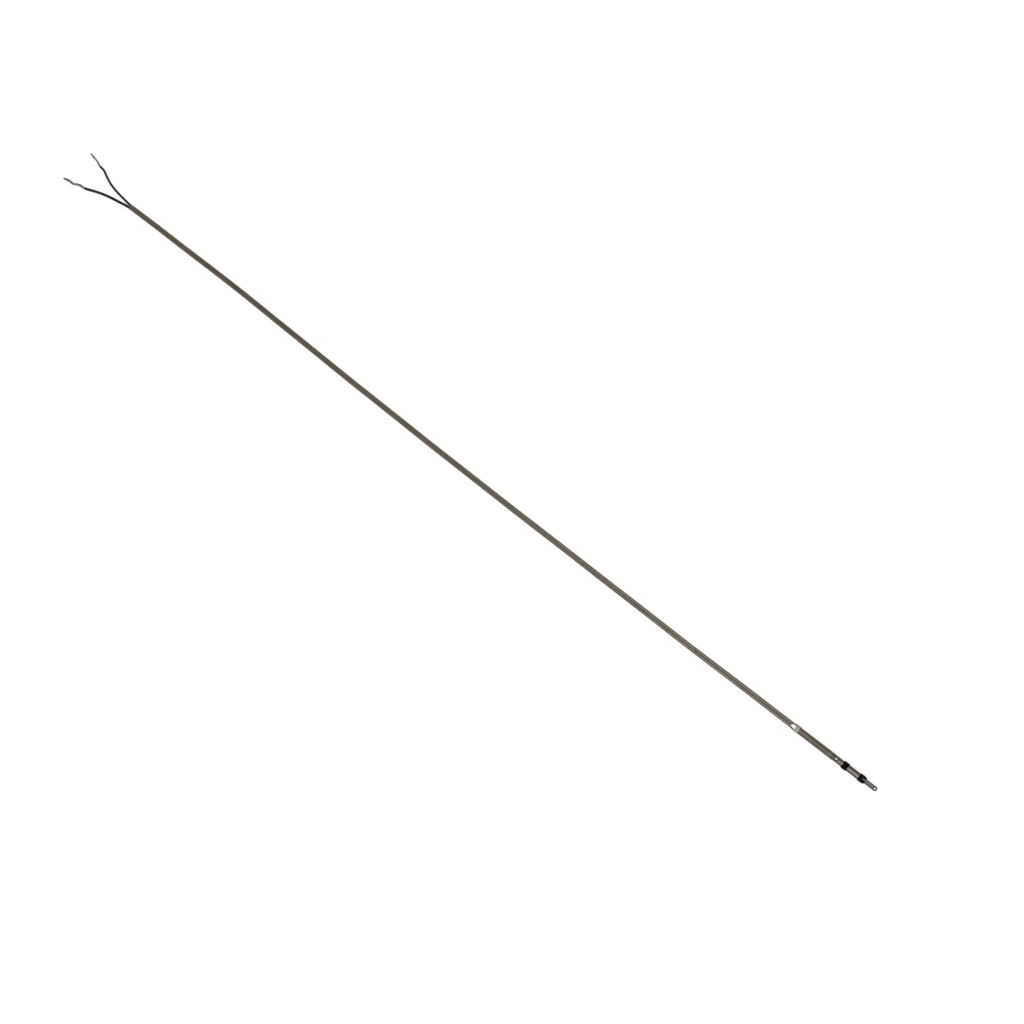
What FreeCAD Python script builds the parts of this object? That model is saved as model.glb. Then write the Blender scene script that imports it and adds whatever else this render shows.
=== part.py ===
"""Slim low-voltage submersible heater on a flat two-core lead, as a parametric FreeCAD document.

Frame: +X runs along the heater towards its hanging eye, +Z is up and the heater lies on z = 0.
The origin is below the middle of the heater head, which is everything except the flexible lead.
Places along the head are measured from the back face of the terminal block, called the datum.
"""

import FreeCAD, Part

import math
import os

import Sketcher
from FreeCAD import Vector

DOC = FreeCAD.newDocument("pen_heater")

# ---------------------------------------------------------------- driving sizes, millimetres
SIZES = [
    # terminal block, where the two cold leads enter the head
    ("block_dia", 6.7, "flange diameter"),
    ("block_len", 3.8, "flange length"),
    ("spigot_len", 3.4, "length of each spigot inside the element sleeve"),
    # element sleeve: the tinted glass tube over the winding
    ("sleeve_dia", 6.2, "outside diameter"),
    ("sleeve_wall", 0.45, "glass wall"),
    ("sleeve_len", 36.4, "length between the block and the coupling"),
    ("slip", 0.1, "radial gap of a part that slides into a tube"),
    # winding
    ("joint_space", 5.0, "room behind the bobbin for the wire joints"),
    ("fan_space", 3.2, "room before the bobbin where the two wires spread"),
    ("flange_len", 0.8, "thickness of each bobbin flange"),
    ("barrel_room", 0.25, "gap between the glass and the cold lead on the bobbin's barrel"),
    ("coil_wire", 0.5, "resistance wire diameter"),
    ("coil_pitch", 0.95, "distance from turn to turn"),
    # coupling: the neck between the glass sleeve and the metal tube
    ("neck_dia", 5.6, "neck diameter"),
    ("neck_len", 8.2, "bare neck length"),
    ("neck_flat", 1.5, "thickness between the two flats on the neck"),
    ("flat_len", 4.4, "length of the flats"),
    ("tie_hole_dia", 2.1, "hole across the neck, between the flats"),
    ("tie_hole_at", 2.1, "from the glass sleeve's end to the hole's centre"),
    ("channel_dia", 0.66, "wire channel through the coupling"),
    ("channel_wall", 0.12, "wall between a wire channel and the seal groove above it"),
    # metal tube over the thermal cut-out
    ("tube_dia", 6.0, "outside diameter"),
    ("tube_wall", 0.3, "metal wall"),
    ("tube_len", 19.8, "length"),
    ("inner_spigot", 4.0, "length of the coupling inside the metal tube"),
    # rubber spacer ring that slides on the tube
    ("ring_wall", 0.5, "thickness of the band"),
    ("ring_len", 5.2, "width"),
    ("ring_at", 0.8, "from the tube's back end to the ring"),
    ("ring_slip", 0.05, "radial gap of the ring on the tube"),
    # thermal cut-out
    ("base_len", 9.4, "length of the cut-out's base"),
    ("base_wide", 4.0, "width of the base"),
    ("base_thick", 1.0, "thickness of the base"),
    ("base_drop", 1.6, "from the axis down to the base's underside"),
    ("plate_thick", 0.25, "terminal plates"),
    ("blade_side_gap", 0.4, "gap between the blade and the wires beside it"),
    ("blade_len", 6.6, "from the blade's pivot to its tip"),
    ("blade_wide", 1.9, "width"),
    ("blade_thick", 0.3, "thickness"),
    ("pivot_dia", 0.6, "rolled end of the blade"),
    ("pivot_slip", 0.05, "radial gap in the blade's knuckle"),
    ("contact_dia", 1.4, "silver contact buttons"),
    ("contact_gap", 0.03, "between the closed contacts"),
    # end plug, boot and hanging tongue
    ("plug_len", 6.6, "end plug"),
    ("plug_out", 1.2, "how far the plug stands out of the tube"),
    ("boot_wall", 0.45, "thickness of the boot over the tube"),
    ("boot_len", 6.5, "boot length"),
    ("boot_lap", 2.5, "how far the boot laps over the tube"),
    ("boot_taper", 0.8, "how far the boot's radius falls to its nose"),
    ("boot_cone", 2.4, "length of the boot's tapered nose"),
    ("notch_wide", 2.1, "width of the notches in the boot"),
    ("notch_len", 3.3, "length of the notches"),
    ("rivet_dia", 0.9, "shank of the rivet in the notches"),
    ("rivet_head", 1.8, "diameter of its domed heads"),
    ("rivet_rise", 0.7, "height of each head above the tongue"),
    ("rivet_back", 1.8, "from the boot's nose back to the rivet"),
    ("tongue_wide", 4.3, "tongue width"),
    ("tongue_thick", 1.4, "tongue thickness"),
    ("eye_land", 0.9, "thickness of the tongue under the eyelet's rims"),
    ("tongue_out", 9.75, "from the boot's nose to the eye's centre"),
    ("tang_wide", 3.0, "tongue's tang inside the plug"),
    ("tang_thick", 1.0, "thickness of the tang"),
    ("tang_len", 5.0, "length of the tang"),
    ("pin_dia", 0.8, "pin through the plug and the tang"),
    ("eye_dia", 1.9, "bore of the eyelet"),
    ("eye_wall", 0.25, "wall of the eyelet"),
    ("eye_rim", 3.3, "diameter of the eyelet's rolled rims"),
    ("rim_thick", 0.2, "thickness of the rims"),
    ("snug", 0.03, "gap of parts that are fitted together for good"),
    # round seals
    ("seal_wire", 0.58, "thickness of the round seals"),
    ("groove_len", 0.9, "width of the seal grooves"),
    ("groove_in", 1.5, "from a spigot's shoulder to its groove"),
    # wires of the head
    ("cold_dia", 0.8, "nickel cold leads"),
    ("link_dia", 0.5, "wires to the cut-out"),
    ("wire_gap", 0.05, "radial gap of a wire in its hole"),
    ("leg_off", 2.65, "cold lead's distance from the axis at the block's back face"),
    ("spigot_wall", 0.25, "wall between a cold lead and the seal groove above it"),
    ("leg_back", 13.0, "how far the cold leads reach behind the block"),
    # flat lead
    ("core_dia", 2.5, "insulated core"),
    ("core_off", 1.3, "core's distance from the middle of the lead"),
    ("skin", 0.3, "jacket round the two cores"),
    ("waist", 1.2, "half the lead's thickness between its two lobes"),
    ("socket_deep", 10.0, "depth of the open ends of the lead"),
    ("crimp_dia", 1.8, "crimp ferrules inside the lead's end"),
    ("crimp_len", 7.0, "length of the crimp ferrules"),
    ("strand_dia", 1.5, "bundle of tinned strands"),
]

SHEET = DOC.addObject("Spreadsheet::Sheet", "Sizes")
for row, (alias, value, note) in enumerate(SIZES, start=1):
    SHEET.set(f"A{row}", str(value))
    SHEET.setAlias(f"A{row}", alias)
    SHEET.set(f"B{row}", note)
DOC.recompute()


def size(expression):
    """The value of a size, or of a formula of sizes such as 'Sizes.a + Sizes.b'."""
    return float(SHEET.evalExpression(expression))


# ---------------------------------------------------------------- places, as formulas of the sizes
RING_RADIUS = "(Sizes.tube_dia / 2 + Sizes.ring_slip + Sizes.ring_wall)"
BOOT_RADIUS = "(Sizes.tube_dia / 2 + Sizes.boot_wall)"
AXIS_Z = RING_RADIUS
SLEEVE_BORE = "(Sizes.sleeve_dia / 2 - Sizes.sleeve_wall)"
TUBE_BORE = "(Sizes.tube_dia / 2 - Sizes.tube_wall)"
GROOVE_DEPTH = "(Sizes.seal_wire + 0.02)"
BARREL = f"({SLEEVE_BORE} - Sizes.cold_dia - Sizes.barrel_room)"
SPIGOT_OFF = f"({SLEEVE_BORE} - {GROOVE_DEPTH} - Sizes.spigot_wall - Sizes.cold_dia / 2)"
NARROW_BORE = f"min({SLEEVE_BORE}; {TUBE_BORE})"
CHANNEL_OFF = f"({NARROW_BORE} - {GROOVE_DEPTH} - Sizes.channel_wall - Sizes.channel_dia / 2)"
SLEEVE_FRONT = "(Sizes.block_len + Sizes.sleeve_len)"
BOBBIN_BACK = "(Sizes.block_len + Sizes.spigot_len + Sizes.joint_space)"
COUPLING_BACK = f"({SLEEVE_FRONT} - Sizes.spigot_len)"
BOBBIN_FRONT = f"({COUPLING_BACK} - Sizes.fan_space)"
TUBE_BACK = f"({SLEEVE_FRONT} + Sizes.neck_len)"
TUBE_FRONT = f"({TUBE_BACK} + Sizes.tube_len)"
BOOT_BACK = f"({TUBE_FRONT} - Sizes.boot_lap)"
BOOT_FRONT = f"({BOOT_BACK} + Sizes.boot_len)"
PLUG_FRONT = f"({TUBE_FRONT} + Sizes.plug_out)"
PLUG_BACK = f"({PLUG_FRONT} - Sizes.plug_len)"
EYE_AT = f"({BOOT_FRONT} + Sizes.tongue_out)"
RIVET_AT = f"({BOOT_FRONT} - Sizes.rivet_back)"
PIN_AT = f"({PLUG_FRONT} - Sizes.tang_len / 2 - 1)"
TIP = f"({EYE_AT} + Sizes.tongue_wide / 2)"
BASE_BACK = f"({TUBE_BACK} + Sizes.inner_spigot + 0.2)"
BASE_TOP = "(Sizes.base_thick - Sizes.base_drop)"
WIRE_SIDE = "(Sizes.blade_wide / 2 + Sizes.blade_side_gap + Sizes.link_dia / 2)"
PIVOT_AT = f"({BASE_BACK} + 1.5)"
PIVOT_UP = f"({BASE_TOP} + Sizes.plate_thick + Sizes.pivot_dia / 2 + 0.3)"
CONTACT_AT = f"({PIVOT_AT} + Sizes.blade_len - 1.0)"
DATUM_X = f"(-({TIP} - Sizes.leg_back) / 2)"


# ---------------------------------------------------------------- helpers
def place(thing, along="0", side="0", up="0"):
    """Ties a thing's origin to a place in the head: along from the datum, side from and up from the axis."""
    thing.setExpression("Placement.Base.x", f"{DATUM_X} + {along}")
    thing.setExpression("Placement.Base.y", side)
    thing.setExpression("Placement.Base.z", f"{AXIS_Z} + {up}")
    return thing


def body_plane(body, role):
    return next(f for f in body.Origin.OriginFeatures if f.Role == role)


def outline(body, role, points):
    """A closed sketch on one of the body's own planes. Each corner is (formula, formula)."""
    sketch = body.newObject("Sketcher::SketchObject", body.Name + "_outline")
    sketch.AttachmentSupport = [(body_plane(body, role), "")]
    sketch.MapMode = "FlatFace"
    places = [Vector(size(a), size(b), 0) for a, b in points]
    for here, there in zip(places, places[1:] + places[:1]):
        sketch.addGeometry(Part.LineSegment(here, there))
    for line in range(len(places)):
        following = (line + 1) % len(places)
        sketch.addConstraint(Sketcher.Constraint("Coincident", line, 2, following, 1))
    for line, (across, height) in enumerate(points):
        for kind, formula in (("DistanceX", across), ("DistanceY", height)):
            index = sketch.addConstraint(Sketcher.Constraint(kind, -1, 1, line, 1, size(formula)))
            sketch.setExpression(f"Constraints[{index}]", formula)
    return sketch


def turned(label, points, along):
    """A round part: an outline of (distance along X, radius), turned about the head's axis."""
    body = DOC.addObject("PartDesign::Body", label)
    sketch = outline(body, "XY_Plane", points)
    turn = body.newObject("PartDesign::Revolution", label + "_turn")
    turn.Profile = sketch
    turn.ReferenceAxis = (sketch, ["H_Axis"])
    turn.Angle = 360
    body.Tip = turn
    return place(body, along)


def padded(label, points, length, along):
    """A prism: an outline of (side, up) points pushed out along X."""
    body = DOC.addObject("PartDesign::Body", label)
    sketch = outline(body, "YZ_Plane", points)
    pad = body.newObject("PartDesign::Pad", label + "_pad")
    pad.Profile = sketch
    pad.setExpression("Length", length)
    body.Tip = pad
    return place(body, along)


def rod(label, radius, length, along, side="0", up="0", direction="x"):
    """A plain cylinder from a place, along X, or centred across Y or Z."""
    cylinder = DOC.addObject("Part::Cylinder", label)
    cylinder.setExpression("Radius", radius)
    cylinder.setExpression("Height", length)
    if direction == "x":
        cylinder.Placement = FreeCAD.Placement(Vector(), FreeCAD.Rotation(Vector(0, 1, 0), 90))
        return place(cylinder, along, side, up)
    if direction == "y":
        cylinder.Placement = FreeCAD.Placement(Vector(), FreeCAD.Rotation(Vector(1, 0, 0), 90))
        return place(cylinder, along, f"{side} + ({length}) / 2", up)
    return place(cylinder, along, side, f"{up} - ({length}) / 2")


def block(label, long, wide, high, along, up):
    """A plain box, centred across Y, standing on a height."""
    box = DOC.addObject("Part::Box", label)
    box.setExpression("Length", long)
    box.setExpression("Width", wide)
    box.setExpression("Height", high)
    return place(box, along, f"-({wide}) / 2", up)


def cut(label, base, *tools):
    """The base with the tools taken away."""
    for number, tool in enumerate(tools, start=1):
        step = DOC.addObject("Part::Cut", label if number == len(tools) else f"{label}_cut{number}")
        step.Base, step.Tool = base, tool
        base = step
    return base


def fuse(label, *shapes):
    joined = DOC.addObject("Part::MultiFuse", label)
    joined.Shapes = list(shapes)
    return joined


STRAIGHT = 0.001  # a turn smaller than this, in radians, needs no arc


def rounded_path(points):
    """Straight runs joined by tangent arcs, each as large as its two runs allow. Returns (wire, radii)."""
    edges, radii, begin = [], [], points[0]
    for before, corner, after in zip(points, points[1:], points[2:]):
        inward, outward = (corner - before), (after - corner)
        turn = inward.getAngle(outward)
        if turn < STRAIGHT:
            continue
        reach = 0.45 * min(inward.Length, outward.Length)
        start = corner - inward.normalize() * reach
        end = corner + outward.normalize() * reach
        radius = reach / math.tan(turn / 2)
        bisector = (outward - inward).normalize()
        middle = corner + bisector * (math.hypot(radius, reach) - radius)
        edges += [Part.LineSegment(begin, start).toShape(), Part.Arc(start, middle, end).toShape()]
        radii.append(radius)
        begin = end
    edges.append(Part.LineSegment(begin, points[-1]).toShape())
    return Part.Wire(edges), radii


def swept(path, profile):
    """A profile wire, drawn in the YZ plane about the path's start, carried along the path upright."""
    pipe = Part.BRepOffsetAPI.MakePipeShell(path)
    pipe.setBiNormalMode(Vector(0, 0, 1))
    pipe.add(profile)
    pipe.build()
    pipe.makeSolid()
    return pipe.shape()


def round_profile(path, radius):
    edge = path.OrderedEdges[0]
    start, direction = edge.valueAt(edge.FirstParameter), edge.tangentAt(edge.FirstParameter)
    return Part.Wire(Part.makeCircle(radius, start, direction))


def wire_tube(points, radius):
    """A solid round wire along points, and its arc radii."""
    path, radii = rounded_path(points)
    return swept(path, round_profile(path, radius)), radii


def head_point(along, side=0.0, up=0.0):
    """A point in the part's frame from a place in the head."""
    return Vector(size(DATUM_X) + along, side, size(AXIS_Z) + up)


def feature(label, shape):
    """A sub-part whose shape is made here, because it follows a route."""
    made = DOC.addObject("Part::Feature", label)
    made.Shape = shape
    return made


# ---------------------------------------------------------------- glass sleeve and terminal block
def grooved_spigot(shoulder, bore, direction):
    """Corners of a spigot with one seal groove, from its shoulder inwards: (along, radius) formulas."""
    radius = f"({bore} - Sizes.slip)"
    floor = f"({bore} - {GROOVE_DEPTH})"
    near = f"{shoulder} {direction} Sizes.groove_in"
    far = f"{shoulder} {direction} (Sizes.groove_in + Sizes.groove_len)"
    return [(shoulder, radius), (near, radius), (near, floor), (far, floor), (far, radius)]


def spigot_seal(label, shoulder, bore, direction):
    """The round seal that sits in a spigot's groove."""
    ring = DOC.addObject("Part::Torus", label)
    ring.setExpression("Radius1", f"{bore} - Sizes.seal_wire / 2 - 0.01")
    ring.setExpression("Radius2", "Sizes.seal_wire / 2")
    ring.Placement = FreeCAD.Placement(Vector(), FreeCAD.Rotation(Vector(0, 1, 0), 90))
    return place(ring, f"{shoulder} {direction} (Sizes.groove_in + Sizes.groove_len / 2)")


def element_sleeve():
    outer = rod("sleeve_outside", "Sizes.sleeve_dia / 2", "Sizes.sleeve_len", "Sizes.block_len")
    inner = rod("sleeve_inside", SLEEVE_BORE, "Sizes.sleeve_len", "Sizes.block_len")
    return cut("element_sleeve", outer, inner)


def cold_lead_points(side):
    """Route of a nickel cold lead, from the crimp in the lead to the winding. side is +1 or -1."""
    core, leg, inside = size("Sizes.core_off"), size("Sizes.leg_off"), size(SPIGOT_OFF)
    spigot_end = size("Sizes.block_len + Sizes.spigot_len")
    points = [
        head_point(-size("Sizes.leg_back"), side * core),
        head_point(-4.6, side * core),
        head_point(-2.4, side * leg),
        head_point(0.3, side * leg),
        head_point(size("Sizes.block_len") - 0.2, side * inside),
    ]
    if side > 0:
        on_barrel = size(f"{BARREL} + Sizes.cold_dia / 2 + 0.02")
        points += [
            head_point(spigot_end + 0.4, inside),
            head_point(spigot_end + 1.7, on_barrel),
            head_point(size(f"{BOBBIN_BACK} + Sizes.flange_len + 0.55"), on_barrel),
        ]
    else:
        points.append(head_point(spigot_end + 1.8, -inside))
    return points


def terminal_block():
    points = [
        ("0", "0"),
        ("0", "Sizes.block_dia / 2 - 0.3"),
        ("0.3", "Sizes.block_dia / 2"),
        ("Sizes.block_len", "Sizes.block_dia / 2"),
        *grooved_spigot("Sizes.block_len", SLEEVE_BORE, "+"),
        ("Sizes.block_len + Sizes.spigot_len", f"{SLEEVE_BORE} - Sizes.slip"),
        ("Sizes.block_len + Sizes.spigot_len", "0"),
    ]
    solid = turned("terminal_block_solid", points, "0")
    hole = size("Sizes.cold_dia / 2 + Sizes.wire_gap")
    bores = [
        feature(f"lead_hole_{name}", wire_tube(cold_lead_points(side)[1:], hole)[0])
        for name, side in (("a", 1), ("b", -1))
    ]
    return cut("terminal_block", solid, *bores)


def cold_lead(label, side):
    shape, radii = wire_tube(cold_lead_points(side), size("Sizes.cold_dia / 2"))
    print(label, "arc radii", [round(r, 1) for r in radii])
    return feature(label, shape)


# ---------------------------------------------------------------- winding
def element_core():
    flange = f"{SLEEVE_BORE} - Sizes.slip"
    length = f"({BOBBIN_FRONT} - {BOBBIN_BACK})"
    points = [
        ("0", "0"),
        ("0", flange),
        ("Sizes.flange_len", flange),
        ("Sizes.flange_len", BARREL),
        (f"{length} - Sizes.flange_len", BARREL),
        (f"{length} - Sizes.flange_len", flange),
        (length, flange),
        (length, "0"),
    ]
    solid = turned("element_core_solid", points, BOBBIN_BACK)
    through = rod("core_bore", "Sizes.link_dia / 2 + Sizes.wire_gap", length, BOBBIN_BACK)
    back_hole = rod(
        "back_flange_hole",
        "Sizes.cold_dia / 2 + 0.02",
        "Sizes.flange_len",
        BOBBIN_BACK,
        f"{BARREL} + Sizes.cold_dia / 2 + 0.02",
    )
    front_hole = rod(
        "front_flange_hole",
        "Sizes.link_dia / 2 + 0.02",
        "Sizes.flange_len",
        f"{BOBBIN_FRONT} - Sizes.flange_len",
        f"{BARREL} + Sizes.link_dia / 2 + 0.02",
    )
    return cut("element_core", solid, through, back_hole, front_hole)


def heating_coil():
    """The resistance wire: whole turns less the two wire ends it butts against."""
    wire, pitch = size("Sizes.coil_wire"), size("Sizes.coil_pitch")
    room = size(f"{BOBBIN_FRONT} - {BOBBIN_BACK} - 2 * Sizes.flange_len") - wire - 0.1
    radius = size(BARREL) + wire / 2 + 0.03
    clear = 2 * math.degrees(math.asin((size("Sizes.cold_dia / 2") + wire / 2 + 0.1) / 2 / radius))
    turns = math.floor(room / pitch) + (360 - 2 * clear) / 360
    height = min(turns * pitch, room)
    helix = Part.makeHelix(height / turns, height, radius)
    along_wire = Vector(0, radius, height / turns / 2 / math.pi)
    start = Part.Wire(Part.makeCircle(wire / 2, Vector(radius, 0, 0), along_wire))
    coil = Part.Wire(helix).makePipeShell([start], True, True)
    turn_start = FreeCAD.Rotation(Vector(1, 0, 0), 90 + clear)
    coil.Placement = FreeCAD.Placement(
        head_point(size(f"{BOBBIN_BACK} + Sizes.flange_len") + wire / 2 + 0.05),
        turn_start * FreeCAD.Rotation(Vector(0, 1, 0), 90),
    )
    return feature("heating_coil", coil)


def return_splice():
    """The ferrule that joins the second cold lead to the thinner return wire."""
    back = "Sizes.block_len + Sizes.spigot_len + 0.5"
    outer = rod("splice_outside", "Sizes.cold_dia / 2 + 0.25", "2.6", back, f"-{SPIGOT_OFF}")
    inner = rod("splice_inside", "Sizes.cold_dia / 2 + Sizes.snug", "2.6", back, f"-{SPIGOT_OFF}")
    return cut("return_splice", outer, inner)


def return_wire():
    """From the splice through the bobbin and the coupling to the blade's terminal."""
    start = size("Sizes.block_len + Sizes.spigot_len") + 2.0
    off, side = size(CHANNEL_OFF), size(WIRE_SIDE)
    rest = size(f"{BASE_TOP} + Sizes.plate_thick + Sizes.link_dia / 2 + 0.02")
    points = [
        head_point(start, -size(SPIGOT_OFF)),
        head_point(start + 0.9, -size(SPIGOT_OFF)),
        head_point(size(BOBBIN_BACK) - 0.8, 0),
        head_point(size(BOBBIN_FRONT) + 0.8, 0),
        head_point(size(COUPLING_BACK) - 0.8, -off),
        head_point(size(f"{TUBE_BACK} + Sizes.inner_spigot") - 0.2, -off),
        head_point(size(BASE_BACK) + 0.9, -side, rest),
        head_point(size(BASE_BACK) + 2.4, -side, rest),
    ]
    return feature("return_wire", wire_tube(points, size("Sizes.link_dia / 2"))[0])


def feed_wire():
    """From the front of the winding through the coupling to the fixed contact's terminal."""
    on_barrel = size(f"{BARREL} + Sizes.link_dia / 2 + 0.02")
    off, side = size(CHANNEL_OFF), size(WIRE_SIDE)
    rest = size(f"{BASE_TOP} + Sizes.plate_thick + Sizes.link_dia / 2 + 0.02")
    points = [
        head_point(size(f"{BOBBIN_FRONT} - Sizes.flange_len") - 0.4, on_barrel),
        head_point(size(BOBBIN_FRONT) + 0.5, on_barrel),
        head_point(size(COUPLING_BACK) - 0.8, off),
        head_point(size(f"{TUBE_BACK} + Sizes.inner_spigot") - 0.2, off),
        head_point(size(BASE_BACK) + 1.2, side),
        head_point(size(CONTACT_AT) - 2.6, side),
        head_point(size(CONTACT_AT) - 0.8, side, rest),
        head_point(size(CONTACT_AT) + 1.0, side, rest),
    ]
    return feature("feed_wire", wire_tube(points, size("Sizes.link_dia / 2"))[0])


# ---------------------------------------------------------------- coupling, metal tube and ring
def coupling():
    tube_spigot = f"({TUBE_BACK} + Sizes.inner_spigot)"
    points = [
        (COUPLING_BACK, "0"),
        (COUPLING_BACK, f"{SLEEVE_BORE} - Sizes.slip"),
        *reversed(grooved_spigot(SLEEVE_FRONT, SLEEVE_BORE, "-")),
        (SLEEVE_FRONT, "Sizes.neck_dia / 2"),
        (TUBE_BACK, "Sizes.neck_dia / 2"),
        *grooved_spigot(TUBE_BACK, TUBE_BORE, "+"),
        (tube_spigot, f"{TUBE_BORE} - Sizes.slip"),
        (tube_spigot, "0"),
    ]
    solid = turned("coupling_solid", points, "0")
    length = f"{tube_spigot} - {COUPLING_BACK}"
    channels = [
        rod(f"channel_{name}", "Sizes.channel_dia / 2", length, COUPLING_BACK, side)
        for name, side in (("a", CHANNEL_OFF), ("b", f"-{CHANNEL_OFF}"))
    ]
    tie_at = f"{SLEEVE_FRONT} + Sizes.tie_hole_at"
    tie = rod("tie_hole", "Sizes.tie_hole_dia / 2", "Sizes.neck_dia + 1", tie_at, direction="z")
    flats = [
        block(
            f"neck_flat_{name}",
            "Sizes.flat_len",
            "Sizes.neck_dia + 1",
            "Sizes.neck_dia / 2",
            f"{tie_at} - Sizes.flat_len / 2 + 0.2",
            up,
        )
        for name, up in (
            ("upper", "Sizes.neck_flat / 2"),
            ("lower", "-Sizes.neck_flat / 2 - Sizes.neck_dia / 2"),
        )
    ]
    return cut("coupling", solid, *channels, tie, *flats)


def cutout_tube():
    outer = rod("tube_outside", "Sizes.tube_dia / 2", "Sizes.tube_len", TUBE_BACK)
    inner = rod("tube_inside", TUBE_BORE, "Sizes.tube_len", TUBE_BACK)
    return cut("cutout_tube", outer, inner)


def spacer_ring():
    """A soft band with rounded edges, loose enough on the tube to be pushed along it."""
    inner = "Sizes.tube_dia / 2 + Sizes.ring_slip"
    points = [
        ("0", inner),
        ("0", f"{RING_RADIUS} - 0.25"),
        ("0.25", RING_RADIUS),
        ("Sizes.ring_len - 0.25", RING_RADIUS),
        ("Sizes.ring_len", f"{RING_RADIUS} - 0.25"),
        ("Sizes.ring_len", inner),
    ]
    return turned("spacer_ring", points, f"{TUBE_BACK} + Sizes.ring_at")


# ---------------------------------------------------------------- thermal cut-out
def cutout_base():
    """The moulded base. Its lower edges are bevelled to lie in the round tube."""
    half, low, bevel = "Sizes.base_wide / 2", "-Sizes.base_drop", "0.5"
    points = [
        (f"-{half} + {bevel}", low),
        (f"{half} - {bevel}", low),
        (half, f"{low} + {bevel}"),
        (half, BASE_TOP),
        (f"-{half}", BASE_TOP),
        (f"-{half}", f"{low} + {bevel}"),
    ]
    return padded("cutout_base", points, "Sizes.base_len", BASE_BACK)


PLATE_LEN = "2.6"
PLATE_WIDE = "(Sizes.base_wide - 0.3)"


def blade_terminal():
    """A plate with a knuckle, open to the front, that holds the rolled end of the blade."""
    knuckle_radius = "Sizes.pivot_dia / 2 + Sizes.pivot_slip"
    plate = block("blade_plate", PLATE_LEN, PLATE_WIDE, "Sizes.plate_thick", f"{BASE_BACK} + 0.2", BASE_TOP)
    post = block(
        "blade_post",
        f"{PIVOT_AT} - {BASE_BACK} - 0.2",
        "Sizes.blade_wide",
        f"{PIVOT_UP} - {BASE_TOP} + {knuckle_radius} + 0.25",
        f"{BASE_BACK} + 0.4",
        BASE_TOP,
    )
    bore = rod("knuckle_bore", knuckle_radius, "Sizes.blade_wide + 1", PIVOT_AT, up=PIVOT_UP, direction="y")
    mouth = block(
        "knuckle_mouth",
        "2",
        "Sizes.blade_wide + 1",
        "Sizes.blade_thick + 0.24",
        PIVOT_AT,
        f"{PIVOT_UP} - Sizes.blade_thick / 2 - 0.06",
    )
    return cut("blade_terminal", fuse("blade_terminal_solid", plate, post), bore, mouth)


def bimetal_blade():
    curl = rod("blade_curl", "Sizes.pivot_dia / 2", "Sizes.blade_wide", PIVOT_AT, up=PIVOT_UP, direction="y")
    strip = block(
        "blade_strip",
        "Sizes.blade_len",
        "Sizes.blade_wide",
        "Sizes.blade_thick",
        PIVOT_AT,
        f"{PIVOT_UP} - Sizes.blade_thick / 2",
    )
    return fuse("bimetal_blade", curl, strip)


CONTACT_HIGH = f"({PIVOT_UP} - Sizes.blade_thick / 2 - {BASE_TOP} - Sizes.plate_thick - Sizes.contact_gap)"


def button(label, at, height):
    """A contact button, standing on a height and centred on its place."""
    disc = DOC.addObject("Part::Cylinder", label)
    disc.setExpression("Radius", "Sizes.contact_dia / 2")
    disc.setExpression("Height", height)
    return place(disc, CONTACT_AT, "0", at)


def moving_contact():
    under_blade = f"{PIVOT_UP} - Sizes.blade_thick / 2 - {CONTACT_HIGH} / 2"
    return button("moving_contact", under_blade, f"{CONTACT_HIGH} / 2")


def fixed_contact():
    plate = block(
        "fixed_plate",
        PLATE_LEN,
        PLATE_WIDE,
        "Sizes.plate_thick",
        f"{CONTACT_AT} - {PLATE_LEN} / 2",
        BASE_TOP,
    )
    top = button("fixed_button", BASE_TOP, f"Sizes.plate_thick + {CONTACT_HIGH} / 2")
    return fuse("fixed_contact", plate, top)


# ---------------------------------------------------------------- end plug, boot, tongue and eyelet
def end_plug():
    plug = rod("plug_outside", f"{TUBE_BORE} - Sizes.slip", "Sizes.plug_len", PLUG_BACK)
    slot = block(
        "plug_slot",
        "Sizes.tang_len + 0.2",
        "Sizes.tang_wide + 2 * Sizes.snug",
        "Sizes.tang_thick + 2 * Sizes.snug",
        f"{PLUG_FRONT} - Sizes.tang_len - 0.2",
        "-Sizes.tang_thick / 2 - Sizes.snug",
    )
    pin = rod("plug_pin_hole", "Sizes.pin_dia / 2", "8", PIN_AT, direction="z")
    return cut("end_plug", plug, slot, pin)


def tongue_pin():
    return rod(
        "tongue_pin",
        "Sizes.pin_dia / 2 - Sizes.snug",
        f"2 * ({TUBE_BORE} - Sizes.slip) - 0.3",
        PIN_AT,
        direction="z",
    )


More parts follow.
